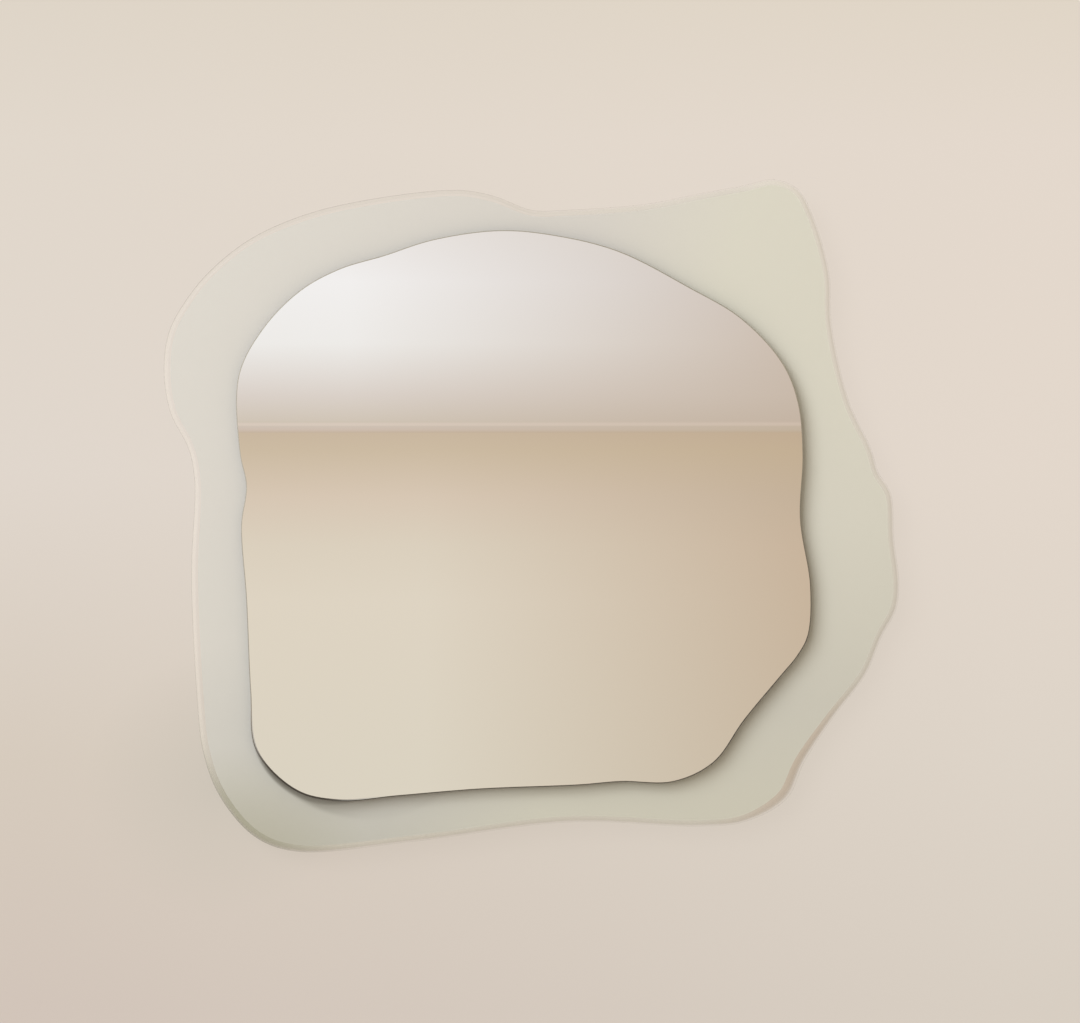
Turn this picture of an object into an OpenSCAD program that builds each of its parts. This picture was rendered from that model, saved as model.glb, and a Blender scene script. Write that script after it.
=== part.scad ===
// Two-layer wall mirror: a silvered glass that floats in front of a satin back glass,
// bonded to an aluminium back frame that hooks over a rail on the wall.
// +X is to the right, +Y goes into the wall and +Z is up. The wall's face is y = 0, and
// the origin is the middle of the wall rail's row of screw holes.

/* [Back glass] */
// Width of the back glass
plate_w = 885; // [800:5:1100]
// Height of the back glass
plate_h = 810; // [760:2:1000]
// Thickness of the back glass
plate_t = 10; // [8:1:15]
// Width of its clear rounded edge, seen from the front, where the grinding is narrowest
edge_w = 8; // [4:0.5:12]
// Upright land left behind the rounded edge
edge_land = 1.5; // [1:0.5:3]
// How far the middle of the glass lies to the right of the wall screws
glass_x = 13; // [-30:1:40]
// How far the middle of the glass lies below the wall screws
glass_drop = 153.5; // [120:0.5:180]

/* [Mirror glass] */
// Width of the mirror glass
mirror_w = 687; // [640:1:800]
// Height of the mirror glass
mirror_h = 682; // [640:1:760]
// Thickness of the mirror glass
mirror_t = 5; // [4:1:8]
// Width of the small bevel on its edges
arris = 1.2; // [0.5:0.1:1.8]
// How far the mirror's middle lies to the left of the back glass's middle
mirror_left = 9; // [0:1:30]
// Thickness of the safety film on the mirror's back
film_t = 0.4; // [0.2:0.1:1]
// How far the film stays inside the mirror's edge
film_inset = 2; // [1:0.5:5]

/* [Spacer] */
// Thickness of the board that makes the mirror float
board_t = 8; // [5:1:16]
// How far the board stays inside the mirror's edge
board_inset = 38; // [25:1:60]
// Thickness of every bonding tape
tape_t = 1; // [0.8:0.1:2]
// Width of the upright tape strips on the board
strip_w = 25; // [12:1:30]
// Distance between neighbouring tape strips
strip_pitch = 100; // [60:5:140]
// Number of tape strips on each side of the board
strip_count = 5; // [3:1:5]
// Width of the adhesive beads between the strips
bead_w = 8; // [4:1:12]
// How far strips and beads stay inside the board's edge
strip_inset = 12; // [8:1:30]

/* [Back frame] */
// Width of the back frame
frame_w = 480; // [440:5:520]
// Height of the back frame
frame_h = 440; // [360:5:460]
// Width of the channel that it is made of
channel_w = 24; // [20:1:30]
// Depth of the channel
channel_d = 12; // [10:1:20]
// Wall thickness of the channel
channel_wall = 1.6; // [1.2:0.1:2]
// Width of the slot between the channel's lips
slot_w = 13; // [10:0.5:14]
// Width of the tape between the frame and the glass
frame_tape_w = 18; // [10:1:19]
// Arm length of the corner plates
corner_arm = 62; // [50:1:70]
// Thickness of the corner plates
corner_t = 2.5; // [2:0.5:4]
// Thread diameter of the corner set screws
set_screw_d = 5; // [4:1:6]
// Gap between the corner plates and the channel's walls
corner_play = 0.3; // [0.2:0.1:0.5]

/* [Hanging cleats] */
// Length of the rail on the wall
rail_l = 400; // [360:5:420]
// Length of the cleat on the frame
hanger_l = 352; // [340:2:356]
// Thickness of both cleat profiles
cleat_t = 3; // [2:0.5:4]
// Height of the wall rail's leg below the screw holes
leg_low = 13; // [10:1:20]
// Height of the wall rail's leg above the screw holes
leg_high = 10; // [8:1:16]
// Height of the hooks
hook_h = 14; // [10:1:18]
// Height of the hanger's flange
flange_h = 22; // [20:1:24]
// Running gap between the two hooks, and of each to the wall and the frame
hook_play = 0.4; // [0.3:0.1:0.6]
// Gap under the hanger's hook as it sits in the rail
seat_play = 0.2; // [0.1:0.1:0.5]
// Lead-in bevel on the tips of the hooks
hook_bevel = 0.8; // [0.4:0.1:0.9]
// Distance between the two outer wall screw holes
outer_span = 320; // [280:5:340]
// Distance between the two inner wall screw holes
inner_span = 120; // [80:5:160]
// Diameter of the wall screw holes
wall_hole_d = 5.5; // [4:0.5:7]

/* [Frame screws and bumpers] */
// Distance between the outer hanger screws
screw_outer = 300; // [280:5:310]
// Distance between the inner hanger screws
screw_inner = 100; // [60:5:200]
// Thread diameter of the hanger screws
screw_d = 5; // [4:1:6]
// Diameter of the hanger screws' heads
head_d = 9; // [8:0.5:11]
// Height of the hanger screws' heads
head_h = 2.4; // [1.5:0.1:2.6]
// Gap of each screw in its hole
hole_play = 0.25; // [0.1:0.05:0.5]
// Length of the nuts in the channel
nut_l = 16; // [12:1:20]
// Thickness of the nuts
nut_t = 3; // [2:0.5:4]
// Diameter of the rubber bumpers
bumper_d = 22; // [18:1:28]
// How far the bumpers sit inside the ends of the bottom rail
bumper_in = 100; // [90:1:150]

/* [Hidden] */
$fn = 48;

// Distances of the layers' rear faces from the wall
hook_d = cleat_t + 2 * hook_play;
frame_d = hook_d + cleat_t + hook_play;
glass_d = frame_d + channel_d + tape_t;
board_d = glass_d + plate_t + tape_t;
film_d = board_d + board_t + tape_t;
mirror_d = film_d + film_t;

// Heights above the wall screws
seat_z = leg_high + cleat_t + seat_play;
web_z = seat_z + hook_h;
screw_z = web_z + cleat_t + flange_h / 2;
frame_top = screw_z + channel_w / 2;
frame_bottom = frame_top - frame_h;

// Inner sizes of the channel
lip_d = frame_d + channel_wall;
base_d = frame_d + channel_d - channel_wall;
inner_w = channel_w - 2 * channel_wall;

// Points on the edge of the back glass, clockwise from the left, about the middle of the glass. The third
// number is how many times edge_w the clear edge is wide there, because such glass is ground by hand.
plate_points = [
    [-442, 172, 1.2], [-436, 220, 1.15], [-415, 259, 1.1], [-386, 294, 1.05], [-338, 332, 1],
    [-276, 360, 1.05], [-204, 378, 1.05], [-89, 391, 1.05], [-45, 384, 1.05], [1, 367, 1],
    [40, 367, 1], [136, 374, 1], [204, 387, 1], [258, 397, 1], [292, 404, 1], [321, 392, 1],
    [338, 363, 1], [359, 291, 1], [362, 229, 1], [383, 137, 1], [410, 79, 1], [418, 52, 1],
    [433, 27, 1], [437, -29, 1], [443, -83, 1], [439, -114, 1], [422, -146, 1], [403, -191, 1.05],
    [364, -243, 1.2], [329, -297, 1.6], [308, -341, 1.75], [259, -368, 1.2], [205, -374, 1.05],
    [45, -369, 1], [-139, -392, 1.05], [-284, -404, 1.15], [-333, -386, 1.2], [-375, -337, 1.2],
    [-395, -283, 1.2], [-402, -221, 1.2], [-409, -71, 1.2], [-405, 40, 1.1], [-412, 79, 1.05],
    [-434, 123, 1.1]
];

// Points on the edge of the mirror glass, about its own middle, in the same order
mirror_points = [
    [-340, 168], [-311, 224], [-267, 269], [-220, 295], [-167, 311], [-108, 330], [-29, 341],
    [39, 335], [114, 316], [198, 273], [260, 236], [309, 183], [328, 136], [334, 74], [331, -4],
    [343, -83], [340, -143], [327, -168], [308, -191], [264, -244], [227, -295], [179, -318],
    [116, -318], [67, -322], [-53, -327], [-150, -335], [-222, -341], [-272, -329], [-319, -281],
    [-326, -210], [-331, -100], [-337, -11], [-331, 35], [-339, 77]
];
// Longest chord of a drawn outline, and the fewest chords between two of its points
chord = 7;
least_chords = 5;
// Flat steps that draw the quarter round of the glass edge
round_steps = 6;

plate_curve = curve(plate_points);
plate_outline = fitted(plate_curve, plate_w, plate_h, [glass_x, -glass_drop]);
edge_widths = [for (p = plate_curve) edge_w * p.z];
mirror_outline = fitted(curve(mirror_points), mirror_w, mirror_h, [glass_x - mirror_left, -glass_drop]);

// Slope of a smooth curve at b, on its way from a to c
function slope(a, b, c) = let (u = sqrt(norm(b - a)), v = sqrt(norm(c - b)))
    (b - a) / u - (c - a) / (u + v) + (c - b) / v;

// A point on the cubic from a to b with the end slopes sa and sb, at t from 0 to 1
function cubic(a, b, sa, sb, t) =
    (2 * t^3 - 3 * t^2 + 1) * a + (t^3 - 2 * t^2 + t) * sa + (3 * t^2 - 2 * t^3) * b + (t^3 - t^2) * sb;

// A closed smooth curve through the points
function curve(p) = let (n = len(p)) [
    for (i = [0 : n - 1])
        let (
            before = p[(i + n - 1) % n], a = p[i], b = p[(i + 1) % n], after = p[(i + 2) % n],
            reach = sqrt(norm(b - a)),
            steps = max(least_chords, ceil(norm(b - a) / chord))
        )
        for (k = [0 : steps - 1])
            cubic(a, b, reach * slope(before, a, b), reach * slope(a, b, after), k / steps)
];

// An outline brought to a width and height about a middle point
function fitted(p, w, h, middle) = let (
        xs = [for (q = p) q.x], zs = [for (q = p) q.y],
        low = [min(xs), min(zs)], high = [max(xs), max(zs)], centre = (low + high) / 2
    ) [for (q = p) middle + [(q.x - centre.x) * w / (high.x - low.x), (q.y - centre.y) * h / (high.y - low.y)]];

// A clockwise outline moved inwards, square to itself, by a distance of its own at each point
function inset(p, by) = let (n = len(p)) [
    for (i = [0 : n - 1])
        let (along = p[(i + 1) % n] - p[(i + n - 1) % n])
        p[i] - by[i] * [-along.y, along.x] / norm(along)
];

// One distance for each point of an outline
function evenly(p, by) = [for (q = p) by];

// Stands a flat shape up, with its rear face at a distance from the wall
module layer(d, t) translate([0, -d, 0]) rotate([90, 0, 0]) linear_extrude(t) children();

// Extrudes a section, drawn as depth and height, along X
module along_x(l) rotate([90, 0, 90]) linear_extrude(l, center = true) children();

// Turns a section, drawn as radius and distance, about an axis that points out of the wall
module turned() rotate([90, 0, 0]) rotate_extrude() children();

// A glass inside an outline, drawn as rings: each has its insets and a distance from the wall, front first
module ground_glass(outline, rings) {
    n = len(outline);
    last = (len(rings) - 1) * n;
    middle = [for (k = [0, 1]) (min([for (p = outline) p[k]]) + max([for (p = outline) p[k]])) / 2];
    front = len(rings) * n;
    points = [
        for (r = rings) for (p = inset(outline, r[0])) [p.x, -r[1], p.y],
        [middle.x, -rings[0][1], middle.y],
        [middle.x, -rings[len(rings) - 1][1], middle.y]
    ];
    sides = [
        for (k = [0 : len(rings) - 2]) for (i = [0 : n - 1])
            let (a = k * n + i, b = k * n + (i + 1) % n)
            for (f = [[a, a + n, b + n], [a, b + n, b]]) f
    ];
    caps = [
        for (i = [0 : n - 1]) let (j = (i + 1) % n)
            for (f = [[front, i, j], [front + 1, last + j, last + i]]) f
    ];
    polyhedron(points, concat(caps, sides));
}

// Hooked rail that is screwed to the wall
module wall_rail() color("silver") difference() {
    tip = seat_z - seat_play + hook_h;
    along_x(rail_l) polygon([
        [0, -leg_low], [-cleat_t, -leg_low], [-cleat_t, leg_high], [-hook_d - cleat_t, leg_high],
        [-hook_d - cleat_t, tip - hook_bevel], [-hook_d - cleat_t + hook_bevel, tip],
        [-hook_d - hook_bevel, tip], [-hook_d, tip - hook_bevel],
        [-hook_d, leg_high + cleat_t], [0, leg_high + cleat_t]
    ]);
    for (x = [-outer_span, -inner_span, inner_span, outer_span] / 2)
        translate([x, 0, 0]) rotate([90, 0, 0]) cylinder(h = 3 * cleat_t, d = wall_hole_d, center = true);
}

// Matching hook on the back frame, screwed to the top rail
module hanger_cleat() color("silver") difference() {
    rear = hook_play + cleat_t;
    along_x(hanger_l) polygon([
        [-hook_play, seat_z + hook_bevel], [-hook_play - hook_bevel, seat_z], [-rear + hook_bevel, seat_z],
        [-rear, seat_z + hook_bevel], [-rear, web_z], [-frame_d, web_z],
        [-frame_d, web_z + cleat_t + flange_h], [-frame_d + cleat_t, web_z + cleat_t + flange_h],
        [-frame_d + cleat_t, web_z + cleat_t], [-hook_play, web_z + cleat_t]
    ]);
    hanger_places() cylinder(h = 3 * cleat_t, d = screw_d + 2 * hole_play, center = true);
}

// Puts its children at the four hanger screws, with their axis out of the wall and their zero
// at the flange's rear face
module hanger_places() for (x = [-screw_outer, -screw_inner, screw_inner, screw_outer] / 2)
    translate([x, -frame_d + cleat_t, screw_z]) rotate([90, 0, 0]) children();

// Pan-head screws with a hexagon socket
module hanger_screws() color("gainsboro") hanger_places() difference() {
    rotate_extrude() polygon([
        [0, -head_h], [head_d / 2 - 1, -head_h], [head_d / 2, -head_h + 1], [head_d / 2, 0],
        [screw_d / 2, 0], [screw_d / 2, cleat_t + channel_wall + nut_t], [0, cleat_t + channel_wall + nut_t]
    ]);
    translate([0, 0, -head_h - 1]) cylinder(h = 2.6, d = screw_d * 0.7, $fn = 6);
}

// Square nuts that slide in the channel, behind its lips
module hanger_nuts() color("darkgray") hanger_places() translate([0, 0, cleat_t + channel_wall]) difference() {
    translate([-nut_l / 2, corner_play - inner_w / 2, 0]) cube([nut_l, inner_w - 2 * corner_play, nut_t]);
    translate([0, 0, -1]) cylinder(h = nut_t + 2, d = screw_d + 2 * hole_play);
}

// Lipped channel with mitred ends, centred on X, its outer edge at z = 0 and its slot to the wall
module channel(l) intersection() {
    along_x(l) difference() {
        translate([-frame_d - channel_d, -channel_w]) square([channel_d, channel_w]);
        translate([-base_d, channel_wall - channel_w]) square([base_d - lip_d, inner_w]);
        translate([-lip_d - 1, -(channel_w + slot_w) / 2]) square([channel_wall + 2, slot_w]);
    }
    layer(frame_d - 1, channel_d + 2) polygon([
        [-l / 2, 0], [l / 2, 0], [l / 2 - channel_w, -channel_w], [channel_w - l / 2, -channel_w]
    ]);
}

module top_rail() color("lightgray") translate([0, 0, frame_top]) channel(frame_w);

module bottom_rail() color("lightgray") translate([0, 0, frame_bottom]) rotate([0, 180, 0]) channel(frame_w);

module left_stile() color("lightgray")
    translate([-frame_w / 2, 0, frame_top - frame_h / 2]) rotate([0, -90, 0]) channel(frame_h);

module right_stile() color("lightgray")
    translate([frame_w / 2, 0, frame_top - frame_h / 2]) rotate([0, 90, 0]) channel(frame_h);

// Puts its children in the four corners of the frame, drawn for the top right one about its outer corner
module frame_corners() for (x = [0, 1]) for (z = [0, 1])
    translate([0, 0, frame_top - frame_h / 2]) mirror([x, 0, 0]) mirror([0, 0, z])
        translate([frame_w / 2, 0, frame_h / 2]) children();

// Places of the set screws along each arm of a corner plate
set_screw_in = [channel_w + 8, corner_arm - 8];

// Puts its children at the set screws of one corner
module set_screw_places() for (s = set_screw_in) {
    translate([-s, 0, -channel_w / 2]) children();
    translate([-channel_w / 2, 0, -s]) children();
}

// Angle plates that join the channels, pressed against the lips by their set screws
module corner_plates() color("silver") frame_corners() difference() {
    edge = channel_wall + corner_play;
    arm_w = channel_w - 2 * edge;
    layer(lip_d, corner_t) translate([-edge, -edge]) polygon([
        [0, 0], [-corner_arm, 0], [-corner_arm, -arm_w], [-arm_w, -arm_w], [-arm_w, -corner_arm],
        [0, -corner_arm]
    ]);
    set_screw_places() translate([0, 1 - lip_d, 0]) rotate([90, 0, 0])
        cylinder(h = corner_t + 2, d = set_screw_d + 2 * hole_play);
}

// Set screws whose points bear on the channel's base
module corner_screws() color("dimgray") frame_corners() set_screw_places() translate([0, -lip_d, 0])
    rotate([90, 0, 0]) difference() {
        tip = base_d - lip_d;
        rotate_extrude() polygon([
            [0, 0], [set_screw_d / 2, 0], [set_screw_d / 2, tip - 1], [set_screw_d / 2 - 1, tip], [0, tip]
        ]);
        translate([0, 0, -1]) cylinder(h = 3.5, d = set_screw_d / 2, $fn = 6);
    }

// Rubber buttons that snap into the bottom rail's slot and bear on the wall
module wall_bumpers() color("dimgray") for (side = [-1, 1])
    translate([side * (frame_w / 2 - bumper_in), 0, frame_bottom + channel_w / 2]) turned() {
        r = bumper_d / 2;
        neck = slot_w / 2 - hole_play;
        polygon([
            [0, 0], [r - 2, 0], [r, 2], [r, frame_d], [neck, frame_d], [neck, lip_d], [neck + 1.4, lip_d],
            [neck + 1.4, lip_d + 1], [neck - 1, lip_d + 4], [0, lip_d + 4]
        ]);
    }

// Foam tape between the frame and the back glass
module frame_tape() color("white") layer(frame_d + channel_d, tape_t) {
    middle = frame_top - frame_h / 2;
    long = frame_w - 2 * channel_w;
    tall = frame_h - 2 * channel_w;
    for (side = [-1, 1]) {
        translate([0, middle + side * (frame_h - channel_w) / 2]) square([long, frame_tape_w], center = true);
        translate([side * (frame_w - channel_w) / 2, middle]) square([frame_tape_w, tall], center = true);
    }
}

// Satin glass with a clear rounded edge
module back_glass() color([0.8, 0.82, 0.75]) {
    front = glass_d + plate_t;
    round_d = plate_t - edge_land;
    rings = [
        for (k = [0 : round_steps]) let (a = 90 * k / round_steps)
            [edge_widths * (1 - sin(a)), front - round_d * (1 - cos(a))],
        [evenly(plate_outline, 0), glass_d + edge_land / 3],
        [evenly(plate_outline, edge_land / 3), glass_d]
    ];
    ground_glass(plate_outline, rings);
}

// The board's outline, kept inside the mirror's edge
module board_shape(by = 0) offset(r = -board_inset - by) polygon(mirror_outline);

// Upright bands over the board, clipped to its shape
module bands(w, places) intersection() {
    board_shape(strip_inset);
    for (x = places) translate([glass_x - mirror_left + x - w / 2, -glass_drop - mirror_h / 2])
        square([w, mirror_h]);
}

strip_places = [for (i = [0 : strip_count - 1]) (i - (strip_count - 1) / 2) * strip_pitch];
bead_places = [for (i = [0 : strip_count - 2]) (i - (strip_count - 2) / 2) * strip_pitch];

// Tape strips and adhesive beads that bond the board to the back glass
module rear_tape() color("white") layer(glass_d + plate_t, tape_t) bands(strip_w, strip_places);

module rear_adhesive() color("gray") layer(glass_d + plate_t, tape_t) bands(bead_w, bead_places);

// Board that holds the mirror off the back glass
module spacer_board() color([0.15, 0.15, 0.16]) layer(board_d, board_t) board_shape();

// Tape strips and adhesive beads that bond the mirror to the board
module front_tape() color("white") layer(board_d + board_t, tape_t) bands(strip_w, strip_places);

module front_adhesive() color("gray") layer(board_d + board_t, tape_t) bands(bead_w, bead_places);

// Film on the mirror's back that holds the glass together if it breaks
module safety_film() color("slategray") layer(film_d, film_t)
    polygon(inset(mirror_outline, evenly(mirror_outline, film_inset)));

// Silvered glass with a fine bevel on both edges
module mirror_glass() color([0.82, 0.84, 0.85]) ground_glass(mirror_outline, [
    [evenly(mirror_outline, arris), mirror_d + mirror_t],
    [evenly(mirror_outline, 0), mirror_d + mirror_t - arris],
    [evenly(mirror_outline, 0), mirror_d + arris],
    [evenly(mirror_outline, arris), mirror_d]
]);

wall_rail();
hanger_cleat();
hanger_screws();
hanger_nuts();
top_rail();
bottom_rail();
left_stile();
right_stile();
corner_plates();
corner_screws();
wall_bumpers();
frame_tape();
back_glass();
rear_tape();
rear_adhesive();
spacer_board();
front_tape();
front_adhesive();
safety_film();
mirror_glass();
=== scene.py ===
from math import radians

import bmesh
import bpy
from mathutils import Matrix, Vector


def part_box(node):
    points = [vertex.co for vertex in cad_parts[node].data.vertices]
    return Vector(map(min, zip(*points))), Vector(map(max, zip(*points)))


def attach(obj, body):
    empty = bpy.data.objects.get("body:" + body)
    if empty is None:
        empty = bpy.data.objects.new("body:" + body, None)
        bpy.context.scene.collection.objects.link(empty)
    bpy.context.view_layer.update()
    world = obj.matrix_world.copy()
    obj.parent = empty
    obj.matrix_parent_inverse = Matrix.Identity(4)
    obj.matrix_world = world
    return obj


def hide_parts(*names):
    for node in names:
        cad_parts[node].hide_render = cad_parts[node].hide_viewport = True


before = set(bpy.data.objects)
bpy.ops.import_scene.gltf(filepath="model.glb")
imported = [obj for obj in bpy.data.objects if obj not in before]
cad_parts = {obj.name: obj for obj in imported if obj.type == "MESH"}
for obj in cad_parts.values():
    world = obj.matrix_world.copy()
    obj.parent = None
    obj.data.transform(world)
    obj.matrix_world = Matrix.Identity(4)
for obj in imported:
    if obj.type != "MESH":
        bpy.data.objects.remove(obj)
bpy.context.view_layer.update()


# Wall rail and hanger cleat.
# Two hooked bars of mill-finish extruded aluminium, one screwed to the wall and one to the mirror's
# back frame. The die leaves fine lines along them, and handling leaves a few duller patches.
X, Y, Z = range(3)
WELD = 0.000002
FLAT_ANGLE = radians(0.2)
CURVE_ANGLES = (radians(0.3), radians(25))
CREASE = radians(32)
SHARP = radians(50)
PROFILE_EASE = 0.00025
ALONG_X = (0.01, 1, 1)
ALONG_Z = (1, 1, 0.01)


def tone(red, green, blue):
    """A display colour, each part from 0 to 255, as Blender's linear colour."""
    parts = [part / 255 for part in (red, green, blue)]
    linear = [part / 12.92 if part < 0.04 else ((part + 0.055) / 1.055) ** 2.4 for part in parts]
    return (*linear, 1)


class Wire:
    """A shader value that takes part in Python arithmetic."""

    def __init__(self, finish, socket):
        self.finish = finish
        self.socket = socket

    def _maths(self, operation, first, second):
        return self.finish.wire("Math", {"operation": operation}, {0: first, 1: second})

    def __add__(self, other):
        return self._maths("ADD", self, other)

    def __radd__(self, other):
        return self._maths("ADD", other, self)

    def __sub__(self, other):
        return self._maths("SUBTRACT", self, other)

    def __rsub__(self, other):
        return self._maths("SUBTRACT", other, self)

    def __mul__(self, other):
        return self._maths("MULTIPLY", self, other)

    def __rmul__(self, other):
        return self._maths("MULTIPLY", other, self)


class Finish:
    """A material whose nodes are added one by one."""

    def __init__(self, name, sockets):
        self.material = bpy.data.materials.new(name)
        self.material.use_nodes = True
        self.tree = self.material.node_tree
        self.shader = self.tree.nodes["Principled BSDF"]
        self.feed(self.shader, sockets)

    def feed(self, node, sockets):
        """Sets a node's sockets to values, or links them to wires."""
        for key, value in sockets.items():
            if isinstance(value, Wire):
                self.tree.links.new(value.socket, node.inputs[key])
            else:
                node.inputs[key].default_value = value

    def wire(self, kind, settings, sockets, output=0):
        """Adds a node, its settings first and then its sockets, and returns one of its outputs."""
        node = self.tree.nodes.new("ShaderNode" + kind)
        for key, value in settings.items():
            if key == "stops":
                first, *between, last = value
                elements = node.color_ramp.elements
                elements[0].position, elements[0].color = first
                elements[1].position, elements[1].color = last
                for place, colour in between:
                    elements.new(place).color = colour
            else:
                setattr(node, key, value)
        self.feed(node, sockets)
        return Wire(self, node.outputs[output])

    def place(self, stretch=(1, 1, 1), middle=(0, 0, 0)):
        """Object coordinates from a middle, stretched along the axes."""
        coordinates = self.wire("TexCoord", {}, {}, "Object")
        shift = [-part * factor for part, factor in zip(middle, stretch)]
        return self.wire("Mapping", {}, {
            "Vector": coordinates, "Location": shift, "Scale": stretch})

    def noise(self, scale, detail=2, roughness=0.5, stretch=(1, 1, 1)):
        """Noise from 0 to 1, its scale in features to the metre."""
        return self.wire("TexNoise", {}, {
            "Vector": self.place(stretch), "Scale": scale, "Detail": detail,
            "Roughness": roughness})

    def ease(self, value, start, end):
        """A share that eases from 0 to 1 as a value goes from start to end."""
        low, high = sorted((start, end))
        share = self.wire("MapRange", {"interpolation_type": "SMOOTHSTEP"}, {
            "Value": value, "From Min": low, "From Max": high})
        return share if start < end else 1 - share

    def coordinate(self, axis):
        """Where a point of the piece is along an axis, in metres."""
        coordinates = self.wire("TexCoord", {}, {}, "Object")
        return self.wire("SeparateXYZ", {}, {"Vector": coordinates}, axis)

    def along(self, axis, start, end):
        """A share that eases from 0 to 1 between two places along an axis."""
        return self.ease(self.coordinate(axis), start, end)

    def near(self, middle, reach):
        """A share that is 1 at a middle and falls to 0 at its reach, as seen from the front."""
        place = self.place((1 / reach, 0, 1 / reach), middle)
        return self.wire("TexGradient", {"gradient_type": "SPHERICAL"}, {"Vector": place}, 1)

    def between(self, low, high, share):
        """A colour between two colours."""
        return self.wire("Mix", {"data_type": "RGBA"}, {0: share, 6: low, 7: high}, 2)

    def bump(self, height, depth):
        """A bumped normal from a height of 0 to 1 and its depth in metres."""
        return self.wire("Bump", {}, {"Height": height, "Distance": depth, "Strength": 1.0})


def merged_copy(node, name):
    """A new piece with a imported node's shape, its loose triangles joined."""
    piece = bpy.data.objects.new(name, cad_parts[node].data.copy())
    bpy.context.scene.collection.objects.link(piece)
    piece.data.materials.clear()
    shape = bmesh.new()
    shape.from_mesh(piece.data)
    bmesh.ops.remove_doubles(shape, verts=shape.verts, dist=WELD)
    return piece, shape


def settle(piece, shape, finishes, node, body, crease=CREASE):
    """Closes a piece's shape, gives it its finishes and puts it in its node's place."""
    for edge in shape.edges:
        edge.smooth = edge.calc_face_angle(0) < crease
    shape.to_mesh(piece.data)
    shape.free()
    for finish in finishes:
        piece.data.materials.append(finish.material)
    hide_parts(node)
    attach(piece, body)


def hard_piece(node, name, finish, body, ease=0):
    """A packed metal or rubber piece, its sharp edges eased where the real ones are."""
    piece, shape = merged_copy(node, name)
    bmesh.ops.dissolve_limit(
        shape, angle_limit=FLAT_ANGLE, verts=shape.verts, edges=shape.edges, delimit={"NORMAL"})
    low, high = CURVE_ANGLES
    for face in shape.faces:
        face.smooth = any(low < e.calc_face_angle(0) < high for e in face.edges)
    if ease:
        sharp = [
            e for e in shape.edges if len(e.link_faces) == 2 and e.calc_face_angle() > SHARP]
        rounding = bmesh.ops.bevel(
            shape, geom=sharp, offset=ease, affect="EDGES", segments=2, profile=0.5, material=-1,
            clamp_overlap=True)["faces"]
        for face in rounding:
            face.smooth = True
    settle(piece, shape, [finish], node, body)


def extruded_aluminium(name, along):
    finish = Finish(name, {"Metallic": 1.0})
    lines = finish.noise(1400, 3, stretch=along)
    patches = finish.noise(9, 4)
    finish.feed(finish.shader, {
        "Base Color": finish.between(tone(202, 204, 206), tone(226, 227, 228), patches),
        "Roughness": lines * 0.16 + patches * 0.2 + 0.16,
        "Normal": finish.bump(lines, 0.00004),
    })
    return finish


cleat_metal = extruded_aluminium("cleat_aluminium", ALONG_X)
hard_piece(
    "wall_rail", "extruded_wall_rail", cleat_metal, "wall_rail", PROFILE_EASE)
hard_piece(
    "hanger_cleat", "extruded_hanger_cleat", cleat_metal, "mirror", PROFILE_EASE)


# Hanger screws and nuts.
# Pan-head machine screws of zinc-plated steel hold the cleat to the frame. They pull up square
# nuts that sit in the channel, behind its lips.
NUT_EASE = 0.0003


def zinc_plate(name):
    finish = Finish(name, {"Metallic": 1.0})
    bloom = finish.noise(60, 5, 0.6)
    finish.feed(finish.shader, {
        "Base Color": finish.between(tone(188, 192, 194), tone(216, 215, 208), bloom),
        "Roughness": bloom * 0.3 + 0.18,
    })
    return finish


zinc = zinc_plate("zinc_plate")
hard_piece("hanger_screws", "pan_head_screws", zinc, "mirror")
hard_piece("hanger_nuts", "square_channel_nuts", zinc, "mirror", NUT_EASE)


# Back frame.
# Four lipped channels of satin anodised aluminium with mitred ends. Angle plates in the corners,
# jammed against the lips by set screws of blackened steel, hold them square.
ANGLE_EASE = 0.0003


def black_oxide(name):
    finish = Finish(name, {"Metallic": 0.9})
    wear = finish.noise(300, 3)
    finish.feed(finish.shader, {
        "Base Color": finish.between(tone(38, 38, 40), tone(84, 84, 88), wear),
        "Roughness": wear * 0.25 + 0.3,
    })
    return finish


frame_across = extruded_aluminium("frame_aluminium_across", ALONG_X)
frame_upright = extruded_aluminium("frame_aluminium_upright", ALONG_Z)
for channel, metal in (
        ("top_rail", frame_across), ("bottom_rail", frame_across),
        ("left_stile", frame_upright), ("right_stile", frame_upright)):
    hard_piece(channel, "channel_" + channel, metal, "mirror", PROFILE_EASE)
hard_piece("corner_plates", "corner_angle_plates", zinc, "mirror", ANGLE_EASE)
hard_piece(
    "corner_screws", "corner_set_screws", black_oxide("black_oxide"), "mirror")


# Wall bumpers.
# Two moulded rubber buttons snap into the bottom rail's slot and bear on the wall, so that
# the mirror hangs upright.
BUMPER_EASE = 0.0006


def moulded_rubber(name):
    finish = Finish(name, {"Specular IOR Level": 0.35})
    grain = finish.noise(2500)
    dust = finish.noise(70, 4)
    finish.feed(finish.shader, {
        "Base Color": finish.between(tone(36, 36, 36), tone(62, 61, 60), dust),
        "Roughness": dust * 0.2 + 0.6,
        "Normal": finish.bump(grain, 0.00006),
    })
    return finish


hard_piece(
    "wall_bumpers", "rubber_wall_bumpers", moulded_rubber("moulded_rubber"), "mirror",
    BUMPER_EASE)


# Bonding tapes and adhesive.
# White acrylic foam tape bonds the frame to the back glass, and with beads of grey mirror adhesive
# it bonds the back glass, the spacer board and the mirror to each other.
def dress(node, finish):
    """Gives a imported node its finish."""
    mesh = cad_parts[node].data
    mesh.materials.clear()
    mesh.materials.append(finish.material)


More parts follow.
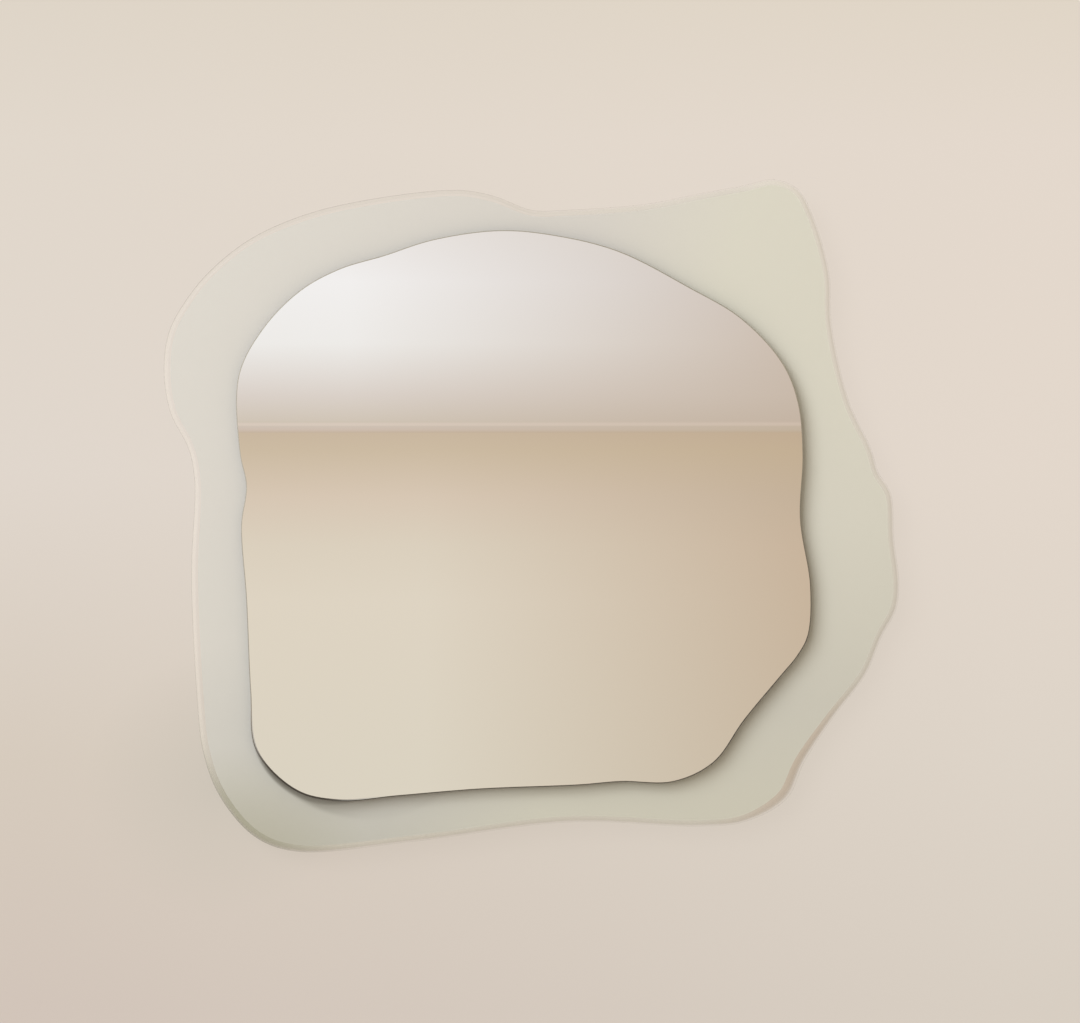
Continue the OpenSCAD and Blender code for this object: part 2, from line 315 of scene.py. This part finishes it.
def soft_bond(name, dark, light, cells):
    finish = Finish(name, {})
    foam = finish.noise(cells, 3, 0.7)
    finish.feed(finish.shader, {
        "Base Color": finish.between(dark, light, foam),
        "Roughness": foam * 0.2 + 0.6,
        "Normal": finish.bump(foam, 0.0001),
    })
    return finish


foam_tape = soft_bond("foam_tape", tone(208, 208, 204), tone(230, 230, 226), cells=1500)
adhesive = soft_bond("mirror_adhesive", tone(134, 134, 132), tone(158, 158, 156), cells=260)
for strip in ("frame_tape", "rear_tape", "front_tape"):
    dress(strip, foam_tape)
for bead in ("rear_adhesive", "front_adhesive"):
    dress(bead, adhesive)


# Back glass.
# Ten millimetres of float glass with pale sage satin faces, with shade painted on them: darker low
# down, olive at the lower left corner and deepest under the mirror's lower left. Its edge is ground
# round and polished clear, and on both faces the satin stops where that starts. On the edge band,
# a painted highlight runs along the upper left and painted shade along the right and low down.
glass_low, glass_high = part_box("back_glass")
FRONT = glass_low.y
FLAT_NORMAL = 0.99999
NORMAL_GUARD = 0.0004
EDGE_CREASE = radians(40)
ROUND_START = 0.0002
ROUND_DEPTH = 0.0042
SHADE_DEPTH = 0.005

# Spots of painted shade on the glass, each with its middle and its reach.
CORNER_SHADE = (-0.335, 0, -0.59), 0.16
EDGE_SHADE_LEFT = (-0.335, 0, -0.52), 0.15
EDGE_SHADE_RIGHT = (0.335, 0, -0.46), 0.14
CRESCENT = (-0.182, 0, -0.364), 0.157
CRESCENT_CORE = (-0.227, 0, -0.404), 0.098

# Where along an axis a share starts, and where it is whole.
MOTTLE_SIDE = (0.3, -0.4)
CRESCENT_TOP = (-0.44, -0.46)
CRESCENT_END = (-0.29, -0.17)
CORE_END = (-0.26, -0.3)
HIGHLIGHT_SIDE = (0.2, -0.1)
HIGHLIGHT_FOOT = (-0.52, -0.44)
GREY_TOP = (-0.05, 0.22)
PALE_SIDE = (0.24, 0.34)
SAGE_FOOT = (0.15, -0.5)


def flat_caps(shape):
    """Makes one face of each flat side and quads of the edge, and returns the front and rear."""
    flat = [f for f in shape.faces if abs(f.normal.y) > FLAT_NORMAL]
    inner = [
        e for e in shape.edges if len(e.link_faces) == 2 and all(f in flat for f in e.link_faces)]
    bmesh.ops.dissolve_edges(shape, edges=inner, use_verts=True, use_face_split=False)
    flat = [f for f in shape.faces if abs(f.normal.y) > FLAT_NORMAL]
    caps = sorted(flat, key=lambda f: f.calc_area())[-2:]
    edge = [f for f in shape.faces if f not in caps]
    bmesh.ops.join_triangles(
        shape, faces=edge, angle_face_threshold=radians(30), angle_shape_threshold=radians(60))
    return sorted((f for f in shape.faces if f in caps), key=lambda f: f.normal.y)


def field(finish, span, left, right, lean=0.0):
    """A colour field from two columns of (height, tone) stops, blended from left to right.
    The blend's lean is how far it shifts to the right for each metre of height."""
    height = finish.coordinate(Z)
    columns = []
    for stops in (left, right):
        low, high = stops[0][0], stops[-1][0]
        rise = finish.wire("MapRange", {}, {"Value": height, "From Min": low, "From Max": high})
        places = [((place - low) / (high - low), tone(*colour)) for place, colour in stops]
        columns.append(finish.wire("ValToRGB", {"stops": places}, {"Fac": rise}))
    across = finish.coordinate(X) - height * lean
    share = finish.wire("MapRange", {}, {
        "Value": across, "From Min": span[0], "From Max": span[1]})
    return finish.between(*columns, share)


def satin_glass(name):
    finish = Finish(name, {"IOR": 1.5})
    drift = finish.noise(5, 3)
    grain = finish.noise(3500)
    # The satin's own sage tone, with painted shade: darker low down, and darker still on the left.
    pale = field(
        finish, span=(0.02, 0.2), lean=0.35,
        left=[(-0.54, (179, 179, 172)), (-0.47, (190, 190, 185)), (-0.4, (193, 192, 188)),
              (-0.3, (201, 199, 195))],
        right=[(-0.5, (194, 194, 182)), (-0.38, (193, 193, 184)), (-0.28, (199, 199, 189)),
               (-0.16, (204, 204, 194)), (0, (206, 206, 195))])
    mottle = finish.along(X, *MOTTLE_SIDE) * drift * 0.3
    mottled = finish.between(pale, tone(192, 197, 188), mottle)
    # Painted shade: the sage turns olive and darker towards the lower left corner.
    olive = finish.between(mottled, tone(163, 162, 145), finish.near(*CORNER_SHADE))

    # The shade under the mirror's lower left edge: a soft crescent, and a deeper core inside it.
    crescent = finish.ease(finish.near(*CRESCENT), 0, 0.05)
    crescent = crescent * (1 - finish.along(X, *CRESCENT_END) * 0.88)
    crescent = crescent * finish.along(Z, *CRESCENT_TOP) * 0.42
    core = finish.ease(finish.near(*CRESCENT_CORE), 0, 0.04)
    core = core * (finish.along(X, *CORE_END) * 0.3 + 0.22)
    shade = (crescent + core) * finish.along(Y, FRONT + SHADE_DEPTH, FRONT)
    finish.feed(finish.shader, {
        "Base Color": finish.between(olive, tone(70, 64, 46), shade),
        "Roughness": grain * 0.08 + 0.46,
        "Normal": finish.bump(grain, 0.000012),
    })
    return finish


def polished_edge(name):
    finish = Finish(name, {"IOR": 1.5})
    waves = finish.noise(45)

    # The edge is turned by 0 where it leaves the flat front and by 1 at the rim.
    normal = finish.wire("NewGeometry", {}, {}, "Normal")
    facing = finish.wire("SeparateXYZ", {}, {"Vector": normal}, Y)
    turned = 1 - facing * facing
    # A painted highlight runs along the middle of the turn, where the band is clear.
    painted_highlight = finish.ease(turned, 0.02, 0.2) * finish.ease(turned, 0.9, 0.5)
    rim = finish.ease(turned, 0.9, 0.99)
    inner = finish.along(Y, FRONT + ROUND_DEPTH, FRONT + ROUND_START)

    # Painted shade: on the right and low down the band is tinted sage, less clear and darker,
    # deepest at its lower left and lower right ends. Elsewhere it is clear and shows the painted
    # highlight.
    painted_shade_side = 1 - finish.along(X, *HIGHLIGHT_SIDE) * finish.along(Z, *HIGHLIGHT_FOOT)
    olive = finish.near(*EDGE_SHADE_LEFT)
    tan = finish.near(*EDGE_SHADE_RIGHT)
    # Painted light and shade in the tones: the clear tone greyer at the top, the sage paler to the
    # right and darker low down.
    clear = finish.between(tone(220, 217, 209), tone(230, 226, 218), waves)
    clear = finish.between(clear, tone(186, 183, 174), finish.along(Z, *GREY_TOP))
    sage = finish.between(
        tone(198, 196, 188), tone(214, 212, 203), finish.along(X, *PALE_SIDE))
    sage = finish.between(sage, tone(192, 191, 179), finish.along(Z, *SAGE_FOOT))
    glass = finish.between(clear, sage, painted_shade_side)
    glass = finish.between(glass, tone(190, 180, 167), finish.ease(tan, 0, 0.7))
    glass = finish.between(glass, tone(158, 158, 142), finish.ease(olive, 0, 0.8))
    finish.feed(finish.shader, {
        "Base Color": finish.between(glass, tone(164, 174, 156), rim * 0.8),
        "Roughness": waves * 0.06 + 0.22,
        "Alpha": inner * (painted_shade_side * 0.6 + tan * 0.35) + painted_highlight * (1 - painted_shade_side) * 0.2
                 + olive * (inner * 0.05 + 0.35) + turned * 0.06 + rim * 0.5 + 0.02,
    })
    return finish


back_glass, shape = merged_copy("back_glass", "satin_back_glass")
front, rear = flat_caps(shape)
rim = rear.edges[:]
rear_plane = rear.verts[0].co.y
bmesh.ops.delete(shape, geom=[rear], context="FACES_ONLY")
copy = bmesh.ops.duplicate(shape, geom=[front])["geom"]
rear = next(part for part in copy if isinstance(part, bmesh.types.BMFace))
bmesh.ops.translate(shape, verts=rear.verts, vec=(0, rear_plane - rear.verts[0].co.y, 0))
bmesh.ops.reverse_faces(shape, faces=[rear])
bmesh.ops.bridge_loops(shape, edges=rim + rear.edges[:])
caps = [front, rear]
guard = bmesh.ops.inset_individual(
    shape, faces=caps, thickness=NORMAL_GUARD, use_even_offset=True)["faces"]
for face in shape.faces:
    face.smooth = True
    face.material_index = 0 if face in caps or face in guard else 1
settle(
    back_glass, shape, [satin_glass("satin_glass"), polished_edge("polished_edge")],
    "back_glass", "mirror", EDGE_CREASE)


# Spacer board.
# Fibreboard sprayed black, cut well inside the mirror's outline, so that the mirror seems to float.
def black_board(name):
    finish = Finish(name, {"Specular IOR Level": 0.3})
    fibres = finish.noise(900, 4, 0.7)
    finish.feed(finish.shader, {
        "Base Color": finish.between(tone(30, 30, 31), tone(52, 51, 50), fibres),
        "Roughness": fibres * 0.2 + 0.5,
        "Normal": finish.bump(fibres, 0.00008),
    })
    return finish


dress("spacer_board", black_board("black_board"))


# Safety film.
# A grey plastic film bonded over the whole back of the mirror, which holds the pieces if it breaks.
WEAVE_SCALE = 320


def woven_film(name):
    finish = Finish(name, {"Specular IOR Level": 0.5})
    weave = finish.wire(
        "TexWave", {"bands_direction": "DIAGONAL"},
        {"Vector": finish.place(), "Scale": WEAVE_SCALE}, 1)
    finish.feed(finish.shader, {
        "Base Color": finish.between(tone(80, 89, 101), tone(112, 118, 128), weave),
        "Roughness": weave * 0.15 + 0.4,
    })
    return finish


dress("safety_film", woven_film("woven_film"))


# Mirror glass.
# Five millimetres of silvered float glass, cut to its own wavy line, with a fine polished bevel
# round both faces. It reads as a grey line, with shade painted into it: darker low down and at the
# lower right, and dark olive at the lower left, where the silver's margin is painted dark as well.
MARGIN = 0.0012
RIM_SHADE = (-0.27, 0, -0.48), 0.12
SILVER = (0.97, 0.975, 0.97, 1)
HAZE = 0.004


def silvered_face(name):
    finish = Finish(name, {"Metallic": 1.0, "Base Color": SILVER})
    haze = finish.noise(6, 3)
    finish.feed(finish.shader, {"Roughness": haze * HAZE})
    return finish


def silver_margin(name):
    finish = Finish(name, {})
    haze = finish.noise(6, 3)
    # Painted shade: at the lower left the margin is painted dark and no longer metallic.
    dark = finish.ease(finish.near(*RIM_SHADE), 0, 0.7)
    finish.feed(finish.shader, {
        "Base Color": finish.between(SILVER, tone(48, 42, 32), dark),
        "Metallic": 1 - dark,
        "Roughness": haze * HAZE + dark * 0.3,
    })
    return finish


def green_bevel(name):
    finish = Finish(name, {"IOR": 1.5, "Coat Weight": 0.5, "Coat Roughness": 0.1})
    depth = finish.noise(30)
    # The bevel's own grey, with painted shade: darker low down and at the lower right, darkest at
    # the lower left.
    line = field(
        finish, span=(-0.3, 0),
        left=[(-0.48, (52, 47, 36)), (-0.42, (110, 105, 93)), (-0.36, (138, 133, 122)),
              (-0.2, (152, 148, 137)), (-0.08, (164, 160, 149)), (0.1, (152, 148, 138))],
        right=[(-0.47, (60, 54, 42)), (-0.42, (40, 35, 24)), (-0.3, (66, 60, 46)),
               (-0.2, (112, 106, 92)), (-0.09, (154, 149, 134)), (0, (176, 171, 156)),
               (0.1, (150, 146, 134))])
    finish.feed(finish.shader, {
        "Base Color": finish.between(line, tone(30, 25, 16), finish.near(*RIM_SHADE)),
        "Roughness": depth * 0.1 + 0.15,
    })
    return finish


mirror_glass, shape = merged_copy("mirror_glass", "silvered_mirror_glass")
caps = flat_caps(shape)
margin = bmesh.ops.inset_individual(
    shape, faces=caps[:1], thickness=MARGIN, use_even_offset=True)["faces"]
for face in shape.faces:
    face.smooth = face not in caps and face not in margin
    face.material_index = 0 if face == caps[0] else 1 if face in margin else 2
settle(
    mirror_glass, shape,
    [silvered_face("silvered_face"), silver_margin("silver_margin"), green_bevel("green_bevel")],
    "mirror_glass", "mirror")


# Stage.
# A warm wall and a pale floor, each seen from its front only, so that views from behind show
# the mirror's back. The wall mostly glows with painted light, darker low down and on the left, and
# has painted shade beside the back glass's lower left. Before it stand glowing cards in a room's
# soft tones, which the mirror shows.
FLOOR = -1.45
WALL_SIDE = 3.0
WALL_TOP = 2.2
WALL_SHADE = (-0.37, 0, -0.48), 0.16
CARD_SIDE = 5.0
CARD_Y = -5.0
CARD_TOP = 3.2
CARD_SPAN = (-0.6, 0.9)
LINE_LOW = 0.108
LINE_HIGH = 0.147
DAYLIGHT = (0.91, 0.95, 1.0)
WARM_LIGHT = (1.0, 0.98, 0.95)
UNSEEN_GLOW = 0.76
SEEN_GLOW = 0.24


def one_sided(finish, solid):
    """Shows a stage surface from its front only, and lets light from behind it through."""
    backs = finish.wire("NewGeometry", {}, {}, "Backfacing")
    shadows = finish.wire("LightPath", {}, {}, "Is Shadow Ray")
    unseen = finish.wire("Math", {"operation": "MAXIMUM"}, {0: backs, 1: shadows})
    nothing = finish.wire("BsdfTransparent", {}, {})
    mixed = finish.wire("MixShader", {}, {0: unseen, 1: solid, 2: nothing})
    finish.feed(finish.tree.nodes["Material Output"], {"Surface": mixed})


class Surround(Finish):
    """The light all round, built as a finish is."""

    def __init__(self, name):
        self.world = bpy.data.worlds.new(name)
        self.world.use_nodes = True
        self.tree = self.world.node_tree
        self.shader = self.tree.nodes["Background"]


def card(name, span, left, right):
    """A stage finish that only glows."""
    finish = Finish(name, {})
    one_sided(finish, finish.wire("Emission", {}, {"Color": field(finish, span, left, right)}))
    return finish


def panel(name, corners, finish):
    """A flat stage panel, with its corners in order against the clock as seen from its front."""
    shape = bmesh.new()
    shape.faces.new([shape.verts.new(corner) for corner in corners])
    stand = bpy.data.objects.new(name, bpy.data.meshes.new(name))
    shape.to_mesh(stand.data)
    shape.free()
    stand.data.materials.append(finish.material)
    bpy.context.scene.collection.objects.link(stand)
    return stand


wall_paint_and_glow = Finish("warm_wall_paint_and_glow", {
    "Roughness": 0.85, "Specular IOR Level": 0.1, "Emission Strength": 0.87})
# Painted light: the wall's glow, darker low down and on the left.
wall_light = field(
    wall_paint_and_glow, span=(-0.6, 0.6),
    left=[(-0.75, (207, 194, 184)), (-0.45, (212, 201, 188)), (-0.1, (223, 214, 205)),
          (0.3, (224, 215, 204)), (0.5, (220, 211, 198))],
    right=[(-0.75, (216, 207, 196)), (-0.45, (222, 213, 202)), (-0.1, (228, 217, 206)),
           (0.3, (229, 218, 207)), (0.5, (224, 214, 199))])
# Painted shade on the wall beside the back glass's lower left.
wall_light = wall_paint_and_glow.between(wall_light, tone(203, 195, 183), wall_paint_and_glow.near(*WALL_SHADE))
wall_paint_and_glow.feed(wall_paint_and_glow.shader, {
    "Base Color": wall_paint_and_glow.between(tone(78, 74, 70), tone(84, 80, 75), wall_paint_and_glow.noise(1.3)),
    "Emission Color": wall_light,
})
one_sided(wall_paint_and_glow, Wire(wall_paint_and_glow, wall_paint_and_glow.shader.outputs[0]))
panel("stage_wall", [
    (-WALL_SIDE, 0, FLOOR), (WALL_SIDE, 0, FLOOR),
    (WALL_SIDE, 0, WALL_TOP), (-WALL_SIDE, 0, WALL_TOP)
], wall_paint_and_glow)

floor_paint = Finish("pale_floor", {"Roughness": 0.7, "Specular IOR Level": 0.2})
floor_paint.feed(floor_paint.shader, {
    "Base Color": floor_paint.between(
        tone(200, 193, 184), tone(208, 201, 192), floor_paint.noise(0.8)),
})
one_sided(floor_paint, Wire(floor_paint, floor_paint.shader.outputs[0]))
panel("stage_floor", [
    (-CARD_SIDE, CARD_Y, FLOOR), (CARD_SIDE, CARD_Y, FLOOR),
    (CARD_SIDE, -CARD_Y, FLOOR), (-CARD_SIDE, -CARD_Y, FLOOR)
], floor_paint)


def far_panel(name, low, high, finish):
    """A card on the far side of the room, which lights nothing."""
    stand = panel(name, [
        (CARD_SIDE, CARD_Y, low), (-CARD_SIDE, CARD_Y, low),
        (-CARD_SIDE, CARD_Y, high), (CARD_SIDE, CARD_Y, high)
    ], finish)
    stand.visible_diffuse = False


far_panel("stage_low_card", FLOOR, LINE_LOW, card(
    "tan_card", span=(-0.35, 0.9),
    left=[(-1.0, (222, 213, 196)), (-0.44, (225, 214, 197)), (-0.26, (222, 210, 192)),
          (-0.1, (218, 201, 182)), (0.05, (207, 189, 165)), (LINE_LOW, (204, 185, 162))],
    right=[(-1.0, (202, 185, 163)), (-0.44, (203, 183, 160)), (-0.26, (203, 182, 159)),
           (-0.1, (199, 179, 156)), (0.05, (198, 177, 150)), (LINE_LOW, (196, 174, 149))]))
far_panel("stage_line_card", LINE_LOW, LINE_HIGH, card(
    "moulding_card", CARD_SPAN,
    left=[(LINE_LOW, (200, 181, 160)), (0.118, (208, 191, 177)), (0.129, (209, 195, 182)),
          (0.133, (219, 204, 190)), (0.139, (217, 202, 189)), (0.143, (209, 197, 181)),
          (LINE_HIGH, (211, 199, 185))],
    right=[(LINE_LOW, (194, 173, 148)), (0.118, (197, 180, 160)), (0.129, (198, 181, 162)),
           (0.133, (207, 189, 172)), (0.139, (208, 190, 174)), (0.143, (202, 184, 168)),
           (LINE_HIGH, (199, 182, 166))]))
far_panel("stage_high_card", LINE_HIGH, CARD_TOP, card(
    "white_card", CARD_SPAN,
    left=[(LINE_HIGH, (211, 199, 185)), (0.23, (221, 211, 203)), (0.4, (241, 238, 235)),
          (0.6, (245, 242, 241)), (0.8, (237, 231, 228)), (CARD_TOP, (222, 214, 205))],
    right=[(LINE_HIGH, (199, 182, 166)), (0.23, (203, 187, 172)), (0.4, (205, 189, 175)),
           (0.6, (206, 192, 181)), (0.8, (211, 200, 189)), (CARD_TOP, (214, 206, 196))]))


def soft_lamp(name, at, aim, wide, tall, power, colour):
    """A soft oblong lamp, turned towards its aim."""
    lamp = bpy.data.lights.new(name, "AREA")
    lamp.shape = "RECTANGLE"
    lamp.size = wide
    lamp.size_y = tall
    lamp.energy = power
    lamp.color = colour
    holder = bpy.data.objects.new(name, lamp)
    holder.location = at
    holder.rotation_euler = (Vector(aim) - Vector(at)).to_track_quat("-Z", "Y").to_euler()
    bpy.context.scene.collection.objects.link(holder)


middle = (glass_low + glass_high) / 2
soft_lamp(
    "window_light", at=(-6.2, -6.5, 3.7), aim=(-6.2, 0, 3.7), wide=10.0, tall=7.6, power=780,
    colour=DAYLIGHT)
soft_lamp(
    "upper_light", at=(-3.2, -3.0, 2.9), aim=middle, wide=2.0, tall=2.0, power=60,
    colour=DAYLIGHT)
soft_lamp(
    "back_light", at=(1.6, 2.6, 1.4), aim=middle, wide=2.2, tall=2.2, power=55,
    colour=WARM_LIGHT)

surround = Surround("soft_surround")
seen = surround.wire("Math", {"operation": "MAXIMUM"}, {
    0: surround.wire("LightPath", {}, {}, "Is Camera Ray"),
    1: surround.wire("LightPath", {}, {}, "Is Glossy Ray"),
})
surround.feed(surround.shader, {
    "Color": tone(228, 213, 191), "Strength": seen * SEEN_GLOW + UNSEEN_GLOW})
bpy.context.scene.world = surround.world
bpy.context.scene.view_settings.view_transform = "Standard"


# Camera.
# It stands straight in front, a little right of and above the middle of the back glass.
LENS = 80
SENSOR = 36
VIEW_WIDE = 1.296
AIM_RIGHT = 0.0104
AIM_UP = 0.0051

lens = bpy.data.cameras.new("camera")
lens.lens = LENS
lens.sensor_width = SENSOR
camera = bpy.data.objects.new("camera", lens)
camera.location = (
    middle.x + AIM_RIGHT, glass_low.y - VIEW_WIDE * LENS / SENSOR, middle.z + AIM_UP)
camera.rotation_euler = (radians(90), 0, 0)
bpy.context.scene.collection.objects.link(camera)
bpy.context.scene.camera = camera


def corners(box):
    """A box's two corners as plain lists."""
    return [list(corner) for corner in box]
